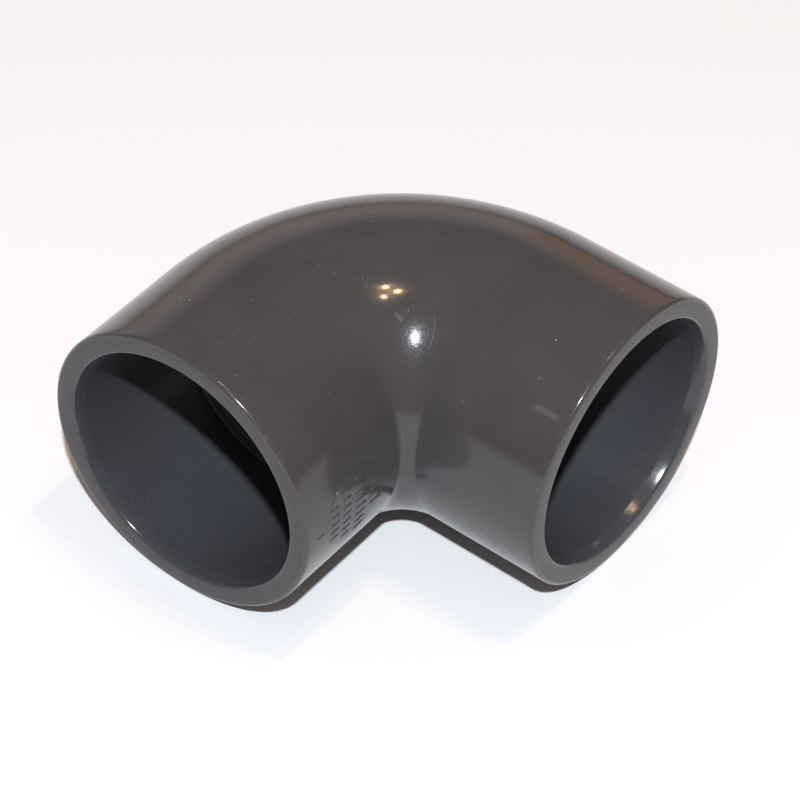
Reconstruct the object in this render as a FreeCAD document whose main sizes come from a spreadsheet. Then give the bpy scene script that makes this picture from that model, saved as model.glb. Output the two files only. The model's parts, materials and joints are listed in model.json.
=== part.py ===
import FreeCAD, Part
import Sketcher
import math
import os

# Plain-socket 90 degree elbow in grey PVC-U, injection moulded in one piece, lying on its side.
# Leg A opens towards -Y and leg B towards +X. The bend plane is level, so +Z is its normal.
# Each body is drawn about the point where the two leg axes cross, and its Placement then puts
# the elbow's bounding box on the XY plane with its middle over the origin. Sizes are in mm.

Vector = FreeCAD.Vector
SHEET = "sizes"

SIZES = [
    ("outer_radius", "30", "outside of both sockets and of the bend"),
    ("centre_to_face", "59", "crossing of the leg axes to each mouth face"),
    ("bend_radius", "32.5", "centreline of the outside of the bend"),
    ("socket_radius", "25.1", "wall that the 50 mm pipe slides into"),
    ("socket_depth", "31", "mouth face to the pipe stop"),
    ("lead_depth", "2.5", "length of the conical lead-in"),
    ("lead_width", "0.7", "how much wider the lead-in is at the face"),
    ("rim_round", "0.8", "outer edge of each mouth face"),
    ("lip_round", "0.8", "inner edge of each mouth face"),
    ("waterway_radius", "22.5", "bore between the two pipe stops"),
    ("core_bend_radius", "27", "centreline of the outside of the bore's bend"),
    ("core_overlap", "1", "how far the bore's cores start inside the sockets"),
    ("plug_radius", "8.4", "outline of the round marking insert"),
    ("plug_face_radius", "36", "curve of the insert's face, flatter than the leg"),
    ("plug_from_face", "14.3", "mouth face to the insert's middle"),
    ("stroke_rise", "0.15", "height of a raised stroke"),
    ("stroke_root", "1", "how far a stroke reaches into the wall"),
    ("stroke_angle", "0.8", "width of a stroke, in degrees"),
    ("stroke_pitch", "3", "stroke to stroke along a row, in degrees"),
    ("tall_stroke", "2.8", "length of a stroke in the two rows near the bend"),
    ("short_stroke", "2.1", "length of a stroke in the two rows near the mouth"),
    ("tick_from_face", "4.2", "mouth face to the cavity tick"),
    ("tick_length", "1.7", "length of the cavity tick"),
]

# Rows of plain strokes on the insert: name, strokes, distance past the insert's middle, length.
MARK_ROWS = [
    ("row_inner", 4, 5.6, "tall_stroke"),
    ("row_long", 8, 1.5, "tall_stroke"),
    ("row_middle", 7, -2.5, "short_stroke"),
    ("row_outer", 5, -6.0, "short_stroke"),
]

START_SIZE = 10.0  # any value: each sketch dimension takes its real size from the sheet
EDGE_MATCH = 0.001  # tolerance when looking for an edge by its radius and place
LEAST_CHANGE = 0.01  # cubic millimetres that every feature must add or take away


def make_sheet(doc):
    """Put the driving dimensions in a spreadsheet, one row each."""
    sheet = doc.addObject("Spreadsheet::Sheet", SHEET)
    for row, (alias, value, note) in enumerate(SIZES, start=1):
        sheet.set(f"A{row}", alias)
        sheet.set(f"B{row}", value)
        sheet.set(f"C{row}", note)
        sheet.setAlias(f"B{row}", alias)
    doc.recompute()
    return sheet


def size(text):
    """Turn @name into a reference to that cell of the sheet."""
    return text.replace("@", SHEET + ".")


def bind(obj, prop, text):
    """Let the sheet drive a property."""
    obj.setExpression(prop, size(text))


def origin_plane(body, role):
    """Return the body's own XY_Plane, XZ_Plane or YZ_Plane."""
    return next(feature for feature in body.Origin.OriginFeatures if feature.Role == role)


def place_on(obj, body, role, along=None, across=None, upward=None, turn_axis=None, turn=None):
    """Attach to an origin plane: along is its normal, across and upward lie in the plane."""
    obj.AttachmentSupport = [(origin_plane(body, role), "")]
    obj.MapMode = "FlatFace"
    if turn is not None:
        obj.AttachmentOffset = FreeCAD.Placement(Vector(), FreeCAD.Rotation(turn_axis, 1))
        bind(obj, "AttachmentOffset.Rotation.Angle", turn)
    for prop, text in (("z", along), ("x", across), ("y", upward)):
        if text is not None:
            bind(obj, "AttachmentOffset.Base." + prop, text)


def new_sketch(body, name, role, **where):
    """Add a sketch to a body, attached to one of its origin planes."""
    sketch = body.newObject("Sketcher::SketchObject", name)
    place_on(sketch, body, role, **where)
    return sketch


def dimension(sketch, constraint, name, text):
    """Add a named dimension that the sheet drives."""
    index = sketch.addConstraint(constraint)
    sketch.renameConstraint(index, name)
    bind(sketch, "Constraints." + name, text)


def circle(sketch, radius):
    """A circle about the sketch's origin."""
    edge = sketch.addGeometry(Part.Circle(Vector(), Vector(0, 0, 1), START_SIZE))
    sketch.addConstraint(Sketcher.Constraint("Coincident", edge, 3, -1, 1))
    dimension(sketch, Sketcher.Constraint("Radius", edge, START_SIZE), f"radius{edge}", radius)


def closed_lines(sketch, corners):
    """Straight edges through the corners, joined end to end and closed."""
    edges = []
    for start, end in zip(corners, corners[1:] + corners[:1]):
        edges.append(sketch.addGeometry(Part.LineSegment(Vector(*start), Vector(*end))))
    for edge, following in zip(edges, edges[1:] + edges[:1]):
        sketch.addConstraint(Sketcher.Constraint("Coincident", edge, 2, following, 1))
    return edges


def stroke_profile(sketch, inner, outer, length):
    """A rectangle centred on the sketch's level axis, from radius inner to radius outer."""
    low, high = START_SIZE, 2 * START_SIZE
    half = START_SIZE / 2
    bottom, right, top, left = closed_lines(sketch, [(low, -half), (high, -half), (high, half), (low, half)])
    for edge in (bottom, top):
        sketch.addConstraint(Sketcher.Constraint("Horizontal", edge))
    sketch.addConstraint(Sketcher.Constraint("Vertical", right))
    sketch.addConstraint(Sketcher.Constraint("Symmetric", left, 1, left, 2, -1))
    dimension(sketch, Sketcher.Constraint("DistanceX", -1, 1, bottom, 1, low), "inner", inner)
    dimension(sketch, Sketcher.Constraint("DistanceX", -1, 1, bottom, 2, high), "outer", outer)
    dimension(sketch, Sketcher.Constraint("DistanceY", right, 1, right, 2, 2 * half), "length", length)


def pad(body, name, sketch, length, reverse=False):
    """Pad a sketch along its normal, or against it."""
    feature = body.newObject("PartDesign::Pad", name)
    feature.Profile = sketch
    feature.Reversed = reverse
    bind(feature, "Length", length)
    return feature


def pocket(body, name, sketch, depth):
    """Pocket a sketch, against its normal."""
    feature = body.newObject("PartDesign::Pocket", name)
    feature.Profile = sketch
    bind(feature, "Length", depth)
    return feature


def turned(body, kind, name, sketch, angle, midplane=False, reverse=False):
    """Revolution or Groove of a sketch about its own upright axis."""
    feature = body.newObject("PartDesign::" + kind, name)
    feature.Profile = sketch
    feature.ReferenceAxis = (sketch, ["V_Axis"])
    feature.Midplane = midplane
    feature.Reversed = reverse
    bind(feature, "Angle", angle)
    return feature


def boolean(body, name, kind, tool):
    """Join another body to this one, or cut it away."""
    feature = body.newObject("PartDesign::Boolean", name)
    feature.Type = kind
    feature.setObjects([tool])
    return feature


def make_outside(body):
    """Two straight legs and the quarter torus between them."""
    leg = "@centre_to_face - @bend_radius"
    for name, role in (("leg_a", "XZ_Plane"), ("leg_b", "YZ_Plane")):
        section = new_sketch(body, name + "_section", role, along="@bend_radius")
        circle(section, "@outer_radius")
        pad(body, name, section, leg)
    section = new_sketch(body, "bend_section", "XZ_Plane", along="@bend_radius", across="@bend_radius")
    edge = section.addGeometry(Part.Circle(Vector(-START_SIZE, 0, 0), Vector(0, 0, 1), START_SIZE / 2))
    section.addConstraint(Sketcher.Constraint("PointOnObject", edge, 3, -1))
    dimension(section, Sketcher.Constraint("DistanceX", edge, 3, -1, 1, START_SIZE), "offset", "@bend_radius")
    dimension(section, Sketcher.Constraint("Radius", edge, START_SIZE / 2), "radius", "@outer_radius")
    turned(body, "Revolution", "bend", section, "90", reverse=True)


def make_waterway_core(doc):
    """The bore's cores: two straight cylinders that meet on the mitre, rounded outside the bend."""
    body = doc.addObject("PartDesign::Body", "waterway_core")
    start = "@centre_to_face - @socket_depth + @core_overlap"
    section = new_sketch(body, "core_section", "XZ_Plane", along=start)
    circle(section, "@waterway_radius")
    pad(body, "core_a", section, start + " + @waterway_radius", reverse=True)

    half = new_sketch(body, "mitre_half", "XY_Plane")
    far = START_SIZE
    diagonal, top, right = closed_lines(half, [(far, -far), (-far, far), (far, far)])
    half.addConstraint(Sketcher.Constraint("Symmetric", diagonal, 1, diagonal, 2, -1, 1))
    half.addConstraint(Sketcher.Constraint("Horizontal", top))
    half.addConstraint(Sketcher.Constraint("Vertical", right))
    half.addConstraint(Sketcher.Constraint("Equal", top, right))
    dimension(half, Sketcher.Constraint("DistanceX", top, 1, top, 2, 2 * far), "side", "4 * @outer_radius")
    pocket(body, "mitre_cut", half, "4 * @waterway_radius").Midplane = True

    heel = new_sketch(body, "heel_section", "XZ_Plane", along="@core_bend_radius", across="@core_bend_radius")
    heel_profile(heel)
    turned(body, "Groove", "heel_trim", heel, "90", reverse=True)

    mitre = body.newObject("PartDesign::Plane", "mitre")
    place_on(mitre, body, "XZ_Plane", turn_axis=Vector(0, -1, 0), turn="45")
    doc.recompute()
    core_b = body.newObject("PartDesign::Mirrored", "core_b")
    core_b.TransformMode = "Whole shape"
    core_b.MirrorPlane = (mitre, [""])
    body.Tip = core_b
    return body


def heel_profile(sketch):
    """What lies outside the round of the bore's bend: a block with a half circle taken out of it."""
    near, far, tall, low = -2 * START_SIZE, -4 * START_SIZE, 2 * START_SIZE, START_SIZE
    corners = [(near, low), (near, tall), (far, tall), (far, -tall), (near, -tall), (near, -low)]
    sides = []
    for start, end in zip(corners, corners[1:]):
        sides.append(sketch.addGeometry(Part.LineSegment(Vector(*start), Vector(*end))))
    for side, following in zip(sides, sides[1:]):
        sketch.addConstraint(Sketcher.Constraint("Coincident", side, 2, following, 1))
    upper, top, back, bottom, lower = sides
    round_edge = Part.Circle(Vector(near, 0, 0), Vector(0, 0, 1), low)
    arc = sketch.addGeometry(Part.ArcOfCircle(round_edge, math.radians(90), math.radians(270)))
    sketch.addConstraint(Sketcher.Constraint("Coincident", arc, 1, upper, 1))
    sketch.addConstraint(Sketcher.Constraint("Coincident", arc, 2, lower, 2))
    sketch.addConstraint(Sketcher.Constraint("PointOnObject", arc, 3, -1))
    for side in (upper, lower):
        sketch.addConstraint(Sketcher.Constraint("Vertical", side))
    for side in (top, bottom):
        sketch.addConstraint(Sketcher.Constraint("Horizontal", side))
    for end in (1, 2):
        sketch.addConstraint(Sketcher.Constraint("Vertical", arc, 3, arc, end))
    sketch.addConstraint(Sketcher.Constraint("Symmetric", back, 1, back, 2, -1))
    dimension(sketch, Sketcher.Constraint("DistanceX", arc, 3, -1, 1, -near), "offset", "@core_bend_radius")
    dimension(sketch, Sketcher.Constraint("Radius", arc, low), "radius", "@waterway_radius")
    above = Sketcher.Constraint("DistanceY", upper, 1, upper, 2, tall - low)
    dimension(sketch, above, "above", "@core_overlap")
    reach = Sketcher.Constraint("DistanceX", top, 2, top, 1, near - far)
    dimension(sketch, reach, "reach", "2 * @waterway_radius")


def make_sockets(body):
    """A straight socket in each leg, with a conical lead-in and softened mouth edges."""
    for name, role in (("socket_a", "XZ_Plane"), ("socket_b", "YZ_Plane")):
        mouth = new_sketch(body, name + "_mouth", role, along="@centre_to_face")
        circle(mouth, "@socket_radius")
        pocket(body, name, mouth, "@socket_depth")
        lead = body.newObject("PartDesign::SubtractiveCone", name + "_lead_in")
        place_on(lead, body, role, along="@centre_to_face", turn_axis=Vector(1, 0, 0), turn="180")
        bind(lead, "Radius1", "@socket_radius + @lead_width")
        bind(lead, "Radius2", "@socket_radius")
        bind(lead, "Height", "@lead_depth")


def mouth_edges(body, sheet, radius):
    """Names of the two circles of this radius that lie in the mouth faces."""
    names = []
    for index, edge in enumerate(body.Shape.Edges, start=1):
        if not isinstance(edge.Curve, Part.Circle) or abs(edge.Curve.Radius - radius) > EDGE_MATCH:
            continue
        middle = edge.Curve.Center
        if abs(middle.Length - sheet.centre_to_face) < EDGE_MATCH:
            names.append(f"Edge{index}")
    return names


def soften_mouths(body, sheet):
    """Round the outer and the inner edge of both mouth faces."""
    lead_radius = sheet.socket_radius + sheet.lead_width
    for name, radius, amount in (
        ("rim_rounding", sheet.outer_radius, "@rim_round"),
        ("lip_rounding", lead_radius, "@lip_round"),
    ):
        base = body.Tip
        edges = mouth_edges(body, sheet, radius)
        fillet = body.newObject("PartDesign::Fillet", name)
        fillet.Base = (base, edges)
        bind(fillet, "Radius", amount)
        body.Document.recompute()


def stroke_row(body, name, count, middle, length, radius, axis_shift=None):
    """Plain raised strokes side by side round the leg, centred on its throat side."""
    start = None if count == 1 else f"@stroke_pitch * {(count - 1) / 2}"
    sketch = new_sketch(
        body,
        name + "_profile",
        "XY_Plane",
        across=axis_shift,
        upward=middle,
        turn_axis=Vector(0, -1, 0),
        turn=start,
    )
    stroke_profile(sketch, radius + " - @stroke_root", radius + " + @stroke_rise", length)
    stroke = turned(body, "Revolution", name, sketch, "@stroke_angle", midplane=True)
    if count == 1:
        return
    row = body.newObject("PartDesign::PolarPattern", name + "_row")
    row.Originals = [stroke]
    row.Axis = (sketch, ["V_Axis"])
    bind(row, "Angle", f"@stroke_pitch * {count - 1}")
    row.Occurrences = count
    body.Tip = row


def make_marking_plug(doc):
    """The round insert's mark on leg A: a face flatter than the leg, with rows of plain strokes."""
    body = doc.addObject("PartDesign::Body", "marking_plug")
    middle = "@plug_from_face - @centre_to_face"
    shift = "@outer_radius - @plug_face_radius"
    inside = "@socket_radius + @stroke_root"
    outline = new_sketch(body, "plug_outline", "YZ_Plane", along=inside, across=middle)
    circle(outline, "@plug_radius")
    pad(body, "plug", outline, "@outer_radius - @socket_radius")

    crown = new_sketch(body, "plug_crown", "XZ_Plane", along="@centre_to_face", across=shift)
    circle(crown, "@plug_face_radius")
    circle(crown, "2 * @plug_face_radius")
    pocket(body, "plug_face", crown, "@centre_to_face")
    doc.recompute()
    for name, count, past, length in MARK_ROWS:
        stroke_row(body, name, count, f"{middle} + {past}", "@" + length, "@plug_face_radius", shift)
    return body


def make_elbow(doc, sheet):
    """The whole moulding."""
    body = doc.addObject("PartDesign::Body", "elbow_body")
    make_outside(body)
    doc.recompute()
    core = make_waterway_core(doc)
    boolean(body, "waterway", "Cut", core)
    make_sockets(body)
    doc.recompute()
    soften_mouths(body, sheet)
    plug = make_marking_plug(doc)
    boolean(body, "marking", "Fuse", plug)
    tick_middle = "@tick_from_face - @centre_to_face"
    stroke_row(body, "cavity_tick", 1, tick_middle, "@tick_length", "@outer_radius")
    bind(body, "Placement.Base.x", "(@outer_radius - @centre_to_face) / 2")
    bind(body, "Placement.Base.y", "(@centre_to_face - @outer_radius) / 2")
    bind(body, "Placement.Base.z", "@outer_radius")
    body.Label = "elbow_body"
    return body


def check(doc, parts):
    """Stop if any object failed, or if a part isn't one sound solid."""
    for obj in doc.Objects:
        if "Invalid" in obj.State or "Error" in obj.State:
            raise RuntimeError(f"{obj.Name}: {obj.State}")
    for part in parts:
        shape = part.Shape
        if shape.isNull() or not shape.isValid() or len(shape.Solids) != 1:
            raise RuntimeError(f"{part.Label}: not one valid solid")


def check_cuts(body):
    """Stop if a feature that should take material away, or add it, left the volume as it was."""
    before = 0.0
    for feature in body.Group:
        if not feature.isDerivedFrom("PartDesign::Feature") or feature.isDerivedFrom("PartDesign::Plane"):
            continue
        volume = feature.Shape.Volume
        if abs(volume - before) < LEAST_CHANGE:
            raise RuntimeError(f"{feature.Name} changed nothing")
        print(f"{feature.Name:24} {volume:12.2f} {volume - before:+12.3f}")
        before = volume


def main():
    doc = FreeCAD.newDocument("elbow")
    sheet = make_sheet(doc)
    elbow = make_elbow(doc, sheet)
    doc.recompute()
    check(doc, [elbow])
    for body in doc.findObjects("PartDesign::Body"):
        check_cuts(body)
    os.makedirs("parts", exist_ok=True)
    elbow.Shape.exportStep(f"parts/{elbow.Label}.step")
    box = elbow.Shape.optimalBoundingBox()
    print(f"{elbow.Label}: {box}")


main()
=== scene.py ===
import json
import math

import bmesh
import bpy
from mathutils import Matrix, Vector


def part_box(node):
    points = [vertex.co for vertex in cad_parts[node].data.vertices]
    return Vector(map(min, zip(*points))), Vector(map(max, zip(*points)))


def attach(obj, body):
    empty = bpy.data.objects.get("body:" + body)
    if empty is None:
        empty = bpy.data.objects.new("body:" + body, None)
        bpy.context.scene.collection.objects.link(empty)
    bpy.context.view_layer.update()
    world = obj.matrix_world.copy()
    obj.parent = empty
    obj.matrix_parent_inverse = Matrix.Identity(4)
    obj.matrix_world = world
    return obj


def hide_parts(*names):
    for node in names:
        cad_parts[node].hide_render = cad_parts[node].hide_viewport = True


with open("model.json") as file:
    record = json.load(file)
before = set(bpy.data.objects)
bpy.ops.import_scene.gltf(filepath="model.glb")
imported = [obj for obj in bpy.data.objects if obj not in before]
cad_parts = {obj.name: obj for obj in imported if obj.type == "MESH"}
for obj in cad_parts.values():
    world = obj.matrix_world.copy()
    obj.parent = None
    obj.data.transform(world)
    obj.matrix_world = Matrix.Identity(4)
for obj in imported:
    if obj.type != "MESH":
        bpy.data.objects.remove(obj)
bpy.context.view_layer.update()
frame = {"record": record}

# A dark grey PVC elbow, moulded in one piece: two plain sockets at right angles. Leg A opens towards
# -Y and leg B towards +X. The moulding is one closed skin made of rings: out of the waterway and
# over the rim of leg A, round the bend, over the rim of leg B and back through the waterway.
# Everything is in metres, in the CAD model's frame.

MM = 0.001
NODE = "elbow_body"
BODY = "root"

# Sizes and places that the frame gives.
mounts = {mount["name"]: mount for mount in frame["record"]["mounts"]}
place_a = Vector(mounts["socket_a"]["pos_m"])
place_b = Vector(mounts["socket_b"]["pos_m"])
bore = mounts["socket_b"]["dims"]
low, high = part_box(NODE)

CROSSING = Vector((place_a.x, place_b.y, place_a.z))  # where the two leg axes cross
OUTER_RADIUS = high.z - CROSSING.z
CENTRE_TO_FACE = high.x - CROSSING.x
SOCKET_RADIUS = bore["r_mm"] * MM
SOCKET_DEPTH = CENTRE_TO_FACE + CROSSING.x - place_b.x + bore["length_mm"] * MM / 2

# Sizes of the same moulding that the frame doesn't name.
BEND_RADIUS = 32.5 * MM
WATERWAY_RADIUS = 22.5 * MM
WATERWAY_BEND = 27 * MM
LEAD_DEPTH = 2.5 * MM  # of the conical lead-in
LEAD_WIDTH = 0.7 * MM  # how much wider the lead-in is at the mouth face
RIM_ROUND = 0.8 * MM  # outer edge of a mouth face
LIP_ROUND = 0.8 * MM  # inner edge of a mouth face
LEAD_ROUND = 1.0 * MM  # where the lead-in ends
STOP_ROUND = 0.3 * MM  # edges of a pipe stop

# The marks on leg A: a round insert, flatter than the leg, with rows of plain raised strokes.
PLUG_RADIUS = 8.4 * MM
PLUG_FACE_RADIUS = 36 * MM  # of its curved face, against the 30 mm of the leg
PLUG_FROM_FACE = 14.3 * MM  # from the mouth face to its middle
PLUG_PROUD = 0.03 * MM
PLUG_ROUND = 0.12 * MM
ROOT = 1.0 * MM  # how deep a mark starts in the wall
STROKE_RISE = 0.15 * MM
STROKE_WIDTH = 0.5 * MM
STROKE_TAPER = 0.12  # how much narrower a stroke is at its top, as a share
STROKE_PITCH = math.radians(3)  # between neighbours in a row
TALL_STROKE = 2.8 * MM
SHORT_STROKE = 2.1 * MM
TICK_FROM_FACE = 4.2 * MM
TICK_LENGTH = 1.7 * MM
STROKE_ROWS = [  # strokes, distance past the insert's middle, length
    (4, 5.6 * MM, TALL_STROKE),
    (8, 1.5 * MM, TALL_STROKE),
    (7, -2.5 * MM, SHORT_STROKE),
    (5, -6.0 * MM, SHORT_STROKE),
]

# Fineness of the meshes.
AROUND = 192  # points in a ring
BEND_STEPS = 60  # rings through the bend
CORNER_STEPS = 5  # rings over a rounded corner
LONGEST_STEP = 1.5 * MM  # widest gap between rings along a leg
PLUG_AROUND = 96  # points in a circle of the insert
PLUG_STEPS = 16  # circles from its middle to its edge


# --- the skin -------------------------------------------------------------------------------------


def on_leg_a(distance):
    """Middle of a ring on leg A, and the direction away from the inside of the bend."""
    return Vector((0, -distance, 0)), Vector((-1, 0, 0))


def on_leg_b(distance):
    """The same on leg B."""
    return Vector((distance, 0, 0)), Vector((0, 1, 0))


def on_bend(radius, turn):
    """The same on a quarter turn from leg A to leg B."""
    outward = Vector((-math.cos(turn), math.sin(turn), 0))
    return Vector((radius, -radius, 0)) + outward * radius, outward


def ring(section, reach):
    """Points round a section; reach gives the radius at each angle from the outward direction."""
    middle, outward = section
    points = []
    for step in range(AROUND):
        angle = math.tau * step / AROUND
        away = outward * math.cos(angle) + Vector((0, 0, math.sin(angle)))
        points.append(CROSSING + middle + away * reach(angle))
    return points


def round_corner(before, corner, after, radius):
    """Points of the arc that rounds a corner, in a flat outline."""
    back, on = (before - corner).normalized(), (after - corner).normalized()
    half = back.angle(on) / 2
    centre = corner + (back + on).normalized() * radius / math.sin(half)
    start = corner + back * radius / math.tan(half) - centre
    side = math.copysign(1, back.x * on.y - back.y * on.x)
    turns = (side * (2 * half - math.pi) * step / CORNER_STEPS for step in range(CORNER_STEPS + 1))
    return [centre + Matrix.Rotation(turn, 2) @ start for turn in turns]


def outline(corners):
    """Round each corner of an outline by its third number, and divide the long edges."""
    points = [Vector(corners[0][:2])]
    for before, here, after in zip(corners, corners[1:], corners[2:]):
        points += round_corner(Vector(before[:2]), Vector(here[:2]), Vector(after[:2]), here[2])
    points.append(Vector(corners[-1][:2]))
    divided = [points[0]]
    for start, end in zip(points, points[1:]):
        steps = max(1, math.ceil((end - start).length / LONGEST_STEP))
        divided += [start.lerp(end, step / steps) for step in range(1, steps + 1)]
    return divided


def mouth_outline():
    """Outline of a leg, as depth from the mouth face and radius: skin, rim, lead-in, socket, stop."""
    return outline([
        (CENTRE_TO_FACE - BEND_RADIUS, OUTER_RADIUS, 0),
        (0, OUTER_RADIUS, RIM_ROUND),
        (0, SOCKET_RADIUS + LEAD_WIDTH, LIP_ROUND),
        (LEAD_DEPTH, SOCKET_RADIUS, LEAD_ROUND),
        (SOCKET_DEPTH, SOCKET_RADIUS, STOP_ROUND),
        (SOCKET_DEPTH, WATERWAY_RADIUS, STOP_ROUND),
        (CENTRE_TO_FACE - WATERWAY_BEND, WATERWAY_RADIUS, 0),
    ])


def waterway_reach(turn):
    """Radius of the waterway at a turn: mitred straight bores, inside a round heel."""
    turn = min(turn, math.pi / 2 - turn)

    def reach(angle):
        across, along = math.sin(angle), math.cos(angle) * math.cos(turn)
        shift = WATERWAY_BEND * (math.cos(turn) - 1)
        square = across ** 2 + along ** 2
        root = (shift * along) ** 2 - square * (shift ** 2 - WATERWAY_RADIUS ** 2)
        straight = (math.sqrt(root) - shift * along) / square
        return min(straight, WATERWAY_RADIUS) if math.cos(angle) > 0 else straight

    return reach


def skin_rings():
    """Every ring of the moulding in order, and the depth and radius that say what each one is."""
    profile = mouth_outline()
    turns = [math.pi / 2 * step / BEND_STEPS for step in range(1, BEND_STEPS)]
    rings, places = [], []
    for depth, radius in reversed(profile):
        rings.append(ring(on_leg_a(CENTRE_TO_FACE - depth), lambda angle: radius))
        places.append((depth, radius))
    for turn in turns:
        rings.append(ring(on_bend(BEND_RADIUS, turn), lambda angle: OUTER_RADIUS))
        places.append((CENTRE_TO_FACE, OUTER_RADIUS))
    for depth, radius in profile:
        rings.append(ring(on_leg_b(CENTRE_TO_FACE - depth), lambda angle: radius))
        places.append((depth, radius))
    for turn in reversed(turns):
        rings.append(ring(on_bend(WATERWAY_BEND, turn), waterway_reach(turn)))
        places.append((CENTRE_TO_FACE, WATERWAY_RADIUS))
    return rings, places


def finish_of(depth, radius):
    """Which material a strip has: 0 outer skin, 1 mouth face, 2 lip and lead-in, 3 socket wall."""
    if radius > OUTER_RADIUS - RIM_ROUND:
        return 0
    if depth < RIM_ROUND / 4 and radius > SOCKET_RADIUS + LEAD_WIDTH + LIP_ROUND / 2:
        return 1
    return 2 if depth < LEAD_DEPTH else 3


def rim_wear(depth, radius):
    """How much a ring is rubbed: 1 on the rounded outer edge of a mouth, fading over a few mm."""
    away = math.hypot(max(depth - RIM_ROUND, 0), OUTER_RADIUS - radius)
    return math.exp(-(away / RIM_ROUND) ** 2)


def new_piece(name, points, faces, materials):
    """A smooth-shaded mesh object in the scene."""
    mesh = bpy.data.meshes.new(name)
    mesh.from_pydata(points, [], faces)
    for material in materials:
        mesh.materials.append(material)
    mesh.shade_smooth()
    piece = bpy.data.objects.new(name, mesh)
    bpy.context.scene.collection.objects.link(piece)
    return piece


def make_skin(materials):
    """The whole moulding as one closed mesh of four-sided faces, with a map of its surface."""
    rings, places = skin_rings()
    points = [point for each in rings for point in each]
    faces, finishes, map_points = [], [], []
    travelled = 0.0
    for index, here in enumerate(places):
        following = (index + 1) % len(rings)
        stride = (rings[following][AROUND // 4] - rings[index][AROUND // 4]).length
        depth, radius = (Vector(here) + Vector(places[following])) / 2
        for step in range(AROUND):
            beside = (step + 1) % AROUND
            faces.append([
                index * AROUND + step,
                following * AROUND + step,
                following * AROUND + beside,
                index * AROUND + beside,
            ])
            finishes.append(finish_of(depth, radius))
            left, right = step / AROUND, (step + 1) / AROUND
            map_points += [(left, travelled), (left, travelled + stride)]
            map_points += [(right, travelled + stride), (right, travelled)]
        travelled += stride
    skin = new_piece("elbow", points, faces, materials)
    mesh = skin.data
    mesh.polygons.foreach_set("material_index", finishes)
    surface_map = mesh.uv_layers.new(name="around_and_along")
    surface_map.data.foreach_set("uv", [number for pair in map_points for number in pair])
    wear = mesh.attributes.new("rim_wear", "FLOAT", "POINT")
    wear.data.foreach_set("value", [rim_wear(*place) for place in places for _ in range(AROUND)])
    return skin


# --- the marks ------------------------------------------------------------------------------------


def on_crown(angle, along, reach, shift):
    """A point round an axis parallel to leg A, from its throat side; along is measured from the face."""
    across = shift + reach * math.cos(angle)
    return CROSSING + Vector((across, along - CENTRE_TO_FACE, reach * math.sin(angle)))


def add_plug(mesh):
    """The insert's disc: a curved face with a rounded edge and a wall that goes into the leg."""
    shift = OUTER_RADIUS - PLUG_FACE_RADIUS
    face = PLUG_FACE_RADIUS + PLUG_PROUD
    circles = [(PLUG_RADIUS - PLUG_ROUND) * step / PLUG_STEPS for step in range(1, PLUG_STEPS + 1)]
    profile = [(radius, face) for radius in circles]
    for step in range(1, CORNER_STEPS + 1):
        turn = math.pi / 2 * step / CORNER_STEPS
        edge = PLUG_RADIUS - PLUG_ROUND + PLUG_ROUND * math.sin(turn)
        profile.append((edge, face - PLUG_ROUND + PLUG_ROUND * math.cos(turn)))
    profile.append((PLUG_RADIUS, face - ROOT))
    profile += [(radius, face - ROOT) for radius in reversed(circles)]
    loops = []
    for radius, reach in profile:
        loop = []
        for step in range(PLUG_AROUND):
            turn = math.tau * step / PLUG_AROUND
            angle = math.asin(radius * math.cos(turn) / PLUG_FACE_RADIUS)
            along = PLUG_FROM_FACE + radius * math.sin(turn)
            loop.append(mesh.verts.new(on_crown(angle, along, reach, shift)))
        loops.append(loop)
    for loop, following in zip(loops, loops[1:]):
        for step in range(PLUG_AROUND):
            beside = (step + 1) % PLUG_AROUND
            mesh.faces.new((loop[step], loop[beside], following[beside], following[step]))
    for loop, reach in ((loops[0], face), (loops[-1], face - ROOT)):
        middle = mesh.verts.new(on_crown(0, PLUG_FROM_FACE, reach, shift))
        for step in range(PLUG_AROUND):
            mesh.faces.new((middle, loop[(step + 1) % PLUG_AROUND], loop[step]))


def add_stroke(mesh, angle, along, length, face, shift):
    """One raised stroke: a bar with softened edges, bent to the face that it stands on."""
    height = STROKE_RISE + ROOT
    size = Matrix.Diagonal((STROKE_WIDTH, length, height, 1))
    block = bmesh.ops.create_cube(mesh, size=1, matrix=size)
    edges = list({edge for corner in block["verts"] for edge in corner.link_edges})
    soft = bmesh.ops.bevel(
        mesh, geom=edges, offset=STROKE_RISE / 2, segments=3, profile=0.5, affect="EDGES"
    )
    corners = {corner for side in soft["faces"] for corner in side.verts}
    for corner in corners:
        reach = face + STROKE_RISE - height / 2 + corner.co.z
        taper = 1 - (reach - face) / STROKE_RISE * STROKE_TAPER
        corner.co = on_crown(angle + corner.co.x * taper / face, along + corner.co.y, reach, shift)


def make_marks(material):
    """The insert, its rows of strokes and the tick near the mouth face."""
    mesh = bmesh.new()
    add_plug(mesh)
    shift = OUTER_RADIUS - PLUG_FACE_RADIUS
    face = PLUG_FACE_RADIUS + PLUG_PROUD
    for count, past, length in STROKE_ROWS:
        for step in range(count):
            angle = STROKE_PITCH * (step - (count - 1) / 2)
            add_stroke(mesh, angle, PLUG_FROM_FACE + past, length, face, shift)
    add_stroke(mesh, 0, TICK_FROM_FACE, TICK_LENGTH, OUTER_RADIUS, 0)
    bmesh.ops.recalc_face_normals(mesh, faces=mesh.faces)
    marks = new_piece("moulded_marks", [], [], [material])
    mesh.to_mesh(marks.data)
    mesh.free()
    marks.data.shade_smooth()
    return marks


# --- materials ------------------------------------------------------------------------------------


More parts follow.
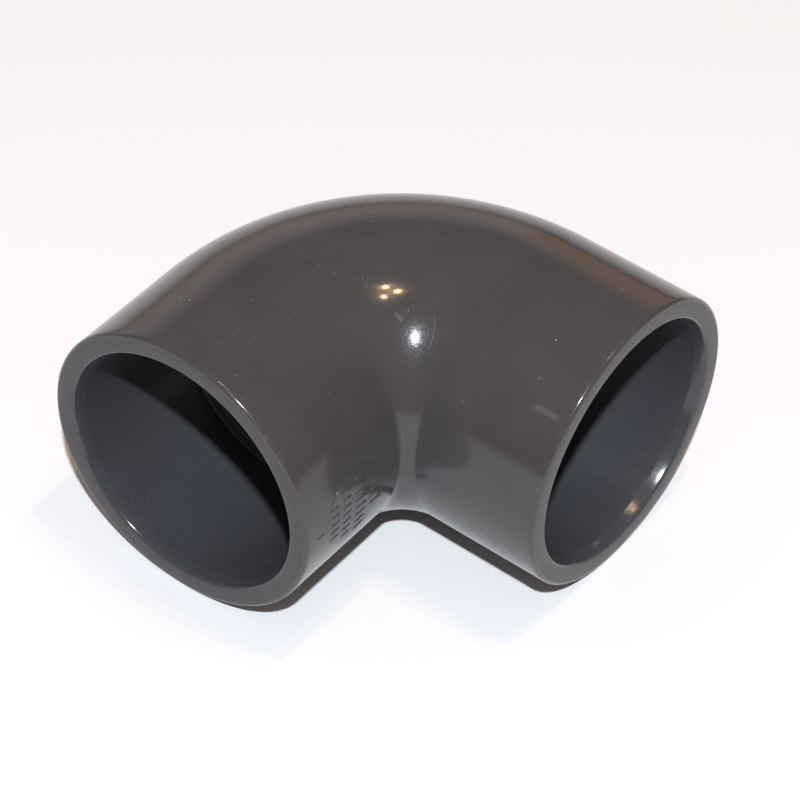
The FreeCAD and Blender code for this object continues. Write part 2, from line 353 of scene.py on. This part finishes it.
class Graph:
    """Short calls that add nodes to one tree and join them. Lengths are in mm."""

    def __init__(self, tree):
        self.tree = tree

    def add(self, kind, inputs, **settings):
        node = self.tree.nodes.new(kind)
        for name, value in settings.items():
            setattr(node, name, value)
        for name, value in inputs.items():
            self.feed(node.inputs[name], value)
        return node

    def feed(self, socket, value):
        if isinstance(value, bpy.types.NodeSocket):
            self.tree.links.new(value, socket)
        else:
            socket.default_value = value

    def calc(self, operation, *values):
        node = self.tree.nodes.new("ShaderNodeMath")
        node.operation = operation
        for socket, value in zip(node.inputs, values):
            self.feed(socket, value)
        return node.outputs[0]

    def total(self, *values):
        result = values[0]
        for value in values[1:]:
            result = self.calc("ADD", result, value)
        return result

    def span(self, value, start, end, low=0.0, high=1.0):
        """Map start..end smoothly to low..high, and hold it beyond."""
        inputs = {"Value": value, "From Min": start, "From Max": end, "To Min": low, "To Max": high}
        return self.add("ShaderNodeMapRange", inputs, interpolation_type="SMOOTHSTEP").outputs[0]

    def noise(self, place, grain, detail=2.0):
        inputs = {"Vector": place, "Scale": 1 / grain, "Detail": detail}
        return self.add("ShaderNodeTexNoise", inputs).outputs[0]

    def cells(self, place, size, feature):
        inputs = {"Vector": place, "Scale": 1 / size}
        return self.add("ShaderNodeTexVoronoi", inputs, feature=feature)

    def blend(self, share, first, second):
        inputs = {"Factor": share}
        node = self.add("ShaderNodeMix", inputs, data_type="RGBA")
        colours = [socket for socket in node.inputs if socket.type == "RGBA"]
        for socket, value in zip(colours, (first, second)):
            self.feed(socket, value if isinstance(value, bpy.types.NodeSocket) else (*value, 1))
        return next(socket for socket in node.outputs if socket.type == "RGBA")

    def ramp(self, value, stops):
        """Colour by value, with a stop for each place and colour."""
        node = self.add("ShaderNodeValToRGB", {0: value})
        elements = node.color_ramp.elements
        while len(elements) < len(stops):
            elements.new(0.5)
        for element, (place, colour) in zip(elements, stops):
            element.position = place
            element.color = (*colour, 1)
        return node.outputs[0]

    def shifted(self, place, offset=(0, 0, 0), stretch=(1, 1, 1)):
        inputs = {"Vector": place, "Location": offset, "Scale": stretch}
        return self.add("ShaderNodeMapping", inputs).outputs[0]

    def warped(self, place, grain, amount):
        """Push the place about by up to amount, so that straight patterns bend."""
        noise = self.add("ShaderNodeTexNoise", {"Vector": place, "Scale": 1 / grain, "Detail": 1.0})
        centred = self.add(
            "ShaderNodeVectorMath", {0: noise.outputs[1], 1: (0.5, 0.5, 0.5)}, operation="SUBTRACT"
        )
        inputs = {0: centred.outputs[0], "Scale": amount}
        push = self.add("ShaderNodeVectorMath", inputs, operation="SCALE").outputs[0]
        return self.add("ShaderNodeVectorMath", {0: place, 1: push}, operation="ADD").outputs[0]


NOISE_SPREAD = 0.35  # how wide a band round a half most of a noise lies in
KEPT_EDGE = 0.04  # how far of the noise a scratch takes to fade out


def hairlines(graph, place, offset, cell, width, share):
    """Fine curved scratches: the borders of warped cells, kept only in scattered stretches."""
    moved = graph.shifted(place, offset=offset)
    bent = graph.warped(moved, cell * 1.5, cell)
    border = graph.cells(bent, cell, "DISTANCE_TO_EDGE").outputs["Distance"]
    line = graph.span(border, 0.0, width / cell, 1.0, 0.0)
    least = 0.5 + (0.5 - share) * NOISE_SPREAD
    kept = graph.span(graph.noise(moved, cell * 0.8, detail=1.0), least, least + KEPT_EDGE)
    return graph.calc("MULTIPLY", line, kept)


def specks(graph, place, offset, cell, radius, share):
    """Scattered round specks, at most one to a cell."""
    found = graph.cells(graph.shifted(place, offset=offset), cell, "F1")
    chance = graph.add("ShaderNodeSeparateColor", {"Color": found.outputs["Color"]})
    size = graph.calc("MULTIPLY", chance.outputs[1], radius / cell)
    inside = graph.calc("LESS_THAN", found.outputs["Distance"], size)
    return graph.calc("MULTIPLY", inside, graph.calc("LESS_THAN", chance.outputs[0], share))


def arc_line(graph, place, centre, radius, width, middle, half_sweep):
    """A thin arc seen from above: its centre, radius and width, and the stretch round it."""
    from_centre = graph.shifted(place, offset=(-centre[0], -centre[1], 0))
    parts = graph.add("ShaderNodeSeparateXYZ", {0: from_centre})
    flat = (graph.calc("POWER", parts.outputs[0], 2.0), graph.calc("POWER", parts.outputs[1], 2.0))
    away = graph.calc("SQRT", graph.total(*flat))
    off = graph.calc("ABSOLUTE", graph.calc("SUBTRACT", away, radius))
    line = graph.span(off, width / 2, width, 1.0, 0.0)
    turn = graph.calc("ARCTAN2", parts.outputs[1], parts.outputs[0])
    aside = graph.calc("ABSOLUTE", graph.calc("SUBTRACT", turn, math.radians(middle)))
    sweep = graph.span(aside, math.radians(half_sweep * 0.6), math.radians(half_sweep), 1.0, 0.0)
    above = graph.calc("GREATER_THAN", parts.outputs[2], 0.0)
    return graph.calc("MULTIPLY", graph.calc("MULTIPLY", line, sweep), above)


def place_in_mm(graph):
    """The point on the object in mm, measured from the crossing of the leg axes."""
    inputs = {0: graph.add("ShaderNodeTexCoord", {}).outputs["Object"], 1: CROSSING}
    moved = graph.add("ShaderNodeVectorMath", inputs, operation="SUBTRACT").outputs[0]
    return graph.add("ShaderNodeVectorMath", {0: moved, "Scale": 1 / MM}, operation="SCALE").outputs[0]


def start_material(name):
    """A new material, its graph and its shader."""
    material = bpy.data.materials.new(name)
    material.use_nodes = True
    return material, Graph(material.node_tree), material.node_tree.nodes["Principled BSDF"]


def set_bump(graph, shader, height):
    """Use a height in mm as bump."""
    bump = graph.add("ShaderNodeBump", {"Height": height, "Distance": MM, "Strength": 1.0})
    graph.feed(shader.inputs["Normal"], bump.outputs[0])


GREY = (0.0530, 0.0487, 0.0520)  # outer skin
# The socket walls are the skin's own plastic. Their bluer, slightly darker slate tint is painted light:
# the cool light inside the sockets.
COOL_LIT_SLATE = (0.046, 0.048, 0.0545)  # socket walls
DUST = (0.34, 0.32, 0.30)
RUBBED = (0.20, 0.185, 0.18)  # scratched and scuffed places
IOR = 1.5
SKIN_ROUGHNESS = 0.09
STRONG_MARK = 0.28  # how far a clear scratch goes towards RUBBED
FAINT_MARK = 0.20
WORN_RIM = 0.4
SCUFFED_BORE = 0.20
LINT = 0.3  # how much fainter lint is than dust


def darker(colour, share):
    return tuple(part * share for part in colour)


def skin_material():
    """Glossy moulded skin, with handling marks: hairlines, scuffs, dust and a rubbed rim."""
    material, graph, shader = start_material("pvc_skin")
    place = place_in_mm(graph)
    cloud = graph.span(graph.noise(place, 14.0, detail=3.0), 0.35, 0.65)
    tone = graph.blend(cloud, darker(GREY, 0.95), darker(GREY, 1.05))

    fine = hairlines(graph, place, offset=(3, 8, 1), cell=5.0, width=0.04, share=0.02)
    long = hairlines(graph, place, offset=(40, 5, 22), cell=15.0, width=0.06, share=0.16)
    ridge = arc_line(graph, place, (32.5, -32.5), radius=32.1, width=0.07, middle=137, half_sweep=38)
    curl = arc_line(graph, place, (20.5, -23.0), radius=7.6, width=0.09, middle=26.6, half_sweep=22)
    rub = arc_line(graph, place, (2.6, -5.0), radius=19.1, width=1.1, middle=-81, half_sweep=34)
    patch = arc_line(graph, place, (53.95, -51.1), radius=30.0, width=0.5, middle=90, half_sweep=6)
    smear = arc_line(graph, place, (20.85, -41.7), radius=20.0, width=0.5, middle=90, half_sweep=3)
    crumbs = graph.span(graph.noise(place, 0.45), 0.61, 0.66)
    scuff = graph.calc("MULTIPLY", rub, crumbs)
    strong = graph.calc("MULTIPLY", graph.total(curl, scuff), STRONG_MARK)
    faint = graph.calc("MULTIPLY", graph.total(fine, long, ridge, patch, smear), FAINT_MARK)
    marks = graph.calc("MINIMUM", graph.total(strong, faint), 1.0)
    haze = graph.span(graph.noise(place, 0.16), 0.52, 0.62)
    dust = specks(graph, place, offset=(5, 5, 5), cell=5.0, radius=0.22, share=0.30)
    lint = specks(graph, place, offset=(19, 2, 7), cell=2.2, radius=0.20, share=0.60)
    dirt = graph.calc("MAXIMUM", dust, graph.calc("MULTIPLY", lint, LINT))
    wear = graph.add("ShaderNodeAttribute", {}, attribute_name="rim_wear").outputs["Fac"]
    chips = graph.span(graph.noise(place, 0.55, detail=3.0), 0.64, 0.70)
    rubbed = graph.calc("MULTIPLY", wear, chips)

    tone = graph.blend(marks, tone, RUBBED)
    tone = graph.blend(graph.calc("MULTIPLY", rubbed, WORN_RIM), tone, RUBBED)
    graph.feed(shader.inputs["Base Color"], graph.blend(dirt, tone, DUST))

    # Each of these adds to the roughness.
    smudge = graph.span(graph.noise(place, 22.0, detail=4.0), 0.42, 0.70, low=0.0, high=0.05)
    worn = graph.calc("MULTIPLY", haze, 0.13)
    scored = graph.calc("MULTIPLY", graph.calc("MAXIMUM", marks, dirt), 0.3)
    graph.feed(shader.inputs["Roughness"], graph.total(SKIN_ROUGHNESS, smudge, worn, scored))
    shader.inputs["IOR"].default_value = IOR

    # Heights in mm.
    swell = graph.calc("MULTIPLY", graph.noise(place, 13.0, detail=1.0), 0.008)
    peel = graph.calc("MULTIPLY", graph.noise(place, 0.9, detail=1.0), 0.0008)
    cut = graph.calc("MULTIPLY", marks, -0.004)
    lump = graph.calc("MULTIPLY", dirt, 0.03)
    nibble = graph.calc("MULTIPLY", rubbed, -0.03)
    set_bump(graph, shader, graph.total(swell, peel, cut, lump, nibble))
    return material


def face_material():
    """Satin mouth face with a fine grain and a few dents."""
    material, graph, shader = start_material("pvc_mouth_face")
    place = place_in_mm(graph)
    cloud = graph.span(graph.noise(place, 5.0, detail=4.0), 0.35, 0.65)
    tone = graph.blend(cloud, darker(GREY, 0.72), darker(GREY, 0.82))
    pits = specks(graph, place, offset=(2, 9, 4), cell=2.2, radius=0.16, share=0.10)
    graph.feed(shader.inputs["Base Color"], graph.blend(pits, tone, RUBBED))
    grain = graph.noise(place, 0.25)
    graph.feed(shader.inputs["Roughness"], graph.span(grain, 0.3, 0.7, low=0.32, high=0.44))
    shader.inputs["IOR"].default_value = IOR
    relief = graph.calc("MULTIPLY", grain, 0.003)
    swell = graph.calc("MULTIPLY", graph.noise(place, 4.0), 0.02)
    dents = graph.calc("MULTIPLY", pits, -0.04)
    set_bump(graph, shader, graph.total(relief, swell, dents))
    return material


def bore_material(name, smooth, rough):
    """Inside of a socket or the waterway, slate grey with the cool light inside painted into it, with
    faint draw lines along the bore.
    """
    material, graph, shader = start_material(name)
    place = place_in_mm(graph)
    surface = graph.add("ShaderNodeUVMap", {}, uv_map="around_and_along").outputs[0]
    drawn = graph.noise(graph.shifted(surface, stretch=(160, 12, 1)), 1.0, detail=3.0)
    cloud = graph.noise(place, 9.0, detail=3.0)
    uneven = graph.total(drawn, cloud)
    # The slate tone is painted cool light inside the sockets, laid on the skin's plastic.
    tone = graph.blend(graph.span(uneven, 0.7, 1.3), darker(COOL_LIT_SLATE, 0.97), darker(COOL_LIT_SLATE, 1.03))
    scuff = hairlines(graph, place, offset=(11, 3, 6), cell=11.0, width=0.10, share=0.14)
    dust = specks(graph, place, offset=(1, 6, 3), cell=3.2, radius=0.16, share=0.10)
    tone = graph.blend(graph.calc("MULTIPLY", scuff, SCUFFED_BORE), tone, RUBBED)
    graph.feed(shader.inputs["Base Color"], graph.blend(dust, tone, DUST))
    graph.feed(shader.inputs["Roughness"], graph.span(uneven, 0.7, 1.3, smooth, rough))
    shader.inputs["IOR"].default_value = IOR
    lines = graph.calc("MULTIPLY", drawn, 0.0015)
    grain = graph.calc("MULTIPLY", graph.noise(place, 0.3), 0.0015)
    set_bump(graph, shader, graph.total(lines, grain))
    return material


# --- stage ----------------------------------------------------------------------------------------

AZIMUTH = math.radians(35.6)  # of the camera round the object, from -Y
ELEVATION = math.radians(44.75)
ROLL = math.radians(3.0)
DISTANCE = 0.6954
LENS = 162.8  # mm
SENSOR = 36  # mm
AIM_RIGHT = 4.36 * MM  # from the crossing to the middle of the view
AIM_DOWN = 18.56 * MM

FLOOR_SIZE = 6.0
PALE = (0.87, 0.87, 0.88, 1)
KEY_AZIMUTH = math.radians(37)
KEY_ELEVATION = math.radians(53.5)
KEY_DISTANCE = 1.4
KEY_SIZE = 0.04
KEY_WATTS = 22.0
KEY_COLOUR = (0.88, 0.94, 1.0)
LAMPS = [  # azimuth and elevation in degrees, watts
    (144, 79, 1.2),
    (113, 82, 1.5),
    (115, 76, 1.1),
]
LAMP_DISTANCE = 1.6
LAMP_SIZE = 0.035
LAMP_COLOUR = (1.0, 0.64, 0.32)


def direction(azimuth, elevation):
    """Unit vector at an azimuth from -Y towards +X, and an elevation."""
    level = math.cos(elevation)
    return Vector((math.sin(azimuth) * level, -math.cos(azimuth) * level, math.sin(elevation)))


def make_camera():
    """A long lens from the front right, above the object, rolled a little."""
    back = direction(AZIMUTH, ELEVATION)
    level = Vector((0, 0, 1)).cross(back).normalized()
    roll = Matrix.Rotation(ROLL, 3, back)
    right, up = roll @ level, roll @ back.cross(level)
    data = bpy.data.cameras.new("camera")
    data.lens = LENS
    data.sensor_width = SENSOR
    camera = bpy.data.objects.new("camera", data)
    place = CROSSING + right * AIM_RIGHT - up * AIM_DOWN + back * DISTANCE
    camera.matrix_world = Matrix.Translation(place) @ Matrix((right, up, back)).transposed().to_4x4()
    bpy.context.scene.collection.objects.link(camera)
    bpy.context.scene.camera = camera


def make_floor():
    """A plain pale floor."""
    material, _, shader = start_material("floor")
    shader.inputs["Base Color"].default_value = PALE
    shader.inputs["Roughness"].default_value = 0.75
    reach = FLOOR_SIZE / 2
    corners = [(-reach, -reach, 0), (reach, -reach, 0), (reach, reach, 0), (-reach, reach, 0)]
    new_piece("floor", corners, [(0, 1, 2, 3)], [material])


def disc_light(name, place, size, watts, colour):
    """A round soft lamp that faces the object."""
    data = bpy.data.lights.new(name, "AREA")
    data.shape = "DISK"
    data.size = size
    data.energy = watts
    data.color = colour
    light = bpy.data.objects.new(name, data)
    light.location = place
    light.rotation_euler = (CROSSING - place).to_track_quat("-Z", "Y").to_euler()
    bpy.context.scene.collection.objects.link(light)


def make_lights():
    """One key lamp above the camera, and three small warm lamps overhead."""
    key = CROSSING + direction(KEY_AZIMUTH, KEY_ELEVATION) * KEY_DISTANCE
    disc_light("key", key, KEY_SIZE, KEY_WATTS, KEY_COLOUR)
    for index, (azimuth, elevation, watts) in enumerate(LAMPS):
        place = CROSSING + direction(math.radians(azimuth), math.radians(elevation)) * LAMP_DISTANCE
        disc_light(f"overhead_{index}", place, LAMP_SIZE, watts, LAMP_COLOUR)


def make_world():
    """A dim warm room, with a pale wall and a wooden one behind the object.

    Each ramp gives a colour by height, the sine of the elevation, and azimuth says which one holds.
    """
    world = bpy.data.worlds.new("studio")
    world.use_nodes = True
    graph = Graph(world.node_tree)
    towards = graph.add("ShaderNodeTexCoord", {}).outputs["Generated"]
    x, y, height = graph.add("ShaderNodeSeparateXYZ", {0: towards}).outputs
    wall = graph.ramp(height, [
        (0.00, (0.50, 0.34, 0.26)),
        (0.08, (0.72, 0.55, 0.50)),
        (0.22, (0.84, 0.68, 0.64)),
        (0.36, (0.66, 0.54, 0.52)),
        (0.44, (0.28, 0.22, 0.20)),
        (1.00, (0.28, 0.21, 0.16)),
    ])
    wood = graph.ramp(height, [
        (0.00, (0.10, 0.06, 0.04)),
        (0.07, (0.68, 0.38, 0.19)),
        (0.34, (0.74, 0.45, 0.28)),
        (0.46, (0.42, 0.31, 0.26)),
        (0.60, (0.30, 0.27, 0.27)),
        (1.00, (0.28, 0.21, 0.16)),
    ])
    room = graph.ramp(height, [
        (0.00, (0.14, 0.08, 0.055)),
        (0.20, (0.17, 0.12, 0.10)),
        (0.50, (0.22, 0.19, 0.19)),
        (0.80, (0.27, 0.24, 0.25)),
        (1.00, (0.28, 0.21, 0.16)),
    ])
    azimuth = graph.calc("ARCTAN2", x, graph.calc("MULTIPLY", y, -1.0))
    behind = graph.span(azimuth, math.radians(-174), math.radians(-166))
    corner = graph.span(azimuth, math.radians(-155.5), math.radians(-152.5))
    end = graph.span(azimuth, math.radians(-90), math.radians(-60), 1.0, 0.0)
    far = graph.blend(corner, wood, wall)
    colour = graph.blend(graph.calc("MULTIPLY", behind, end), room, far)
    graph.feed(world.node_tree.nodes["Background"].inputs["Color"], colour)
    bpy.context.scene.world = world


skin = skin_material()
lead_in = bore_material("pvc_lead_in", smooth=0.12, rough=0.17)
socket_wall = bore_material("pvc_socket_wall", smooth=0.30, rough=0.40)
elbow = make_skin([skin, face_material(), lead_in, socket_wall])
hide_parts(NODE)
marks = make_marks(skin)
for piece in (elbow, marks):
    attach(piece, BODY)

make_camera()
make_floor()
make_lights()
make_world()
bpy.context.scene.view_settings.view_transform = "Standard"
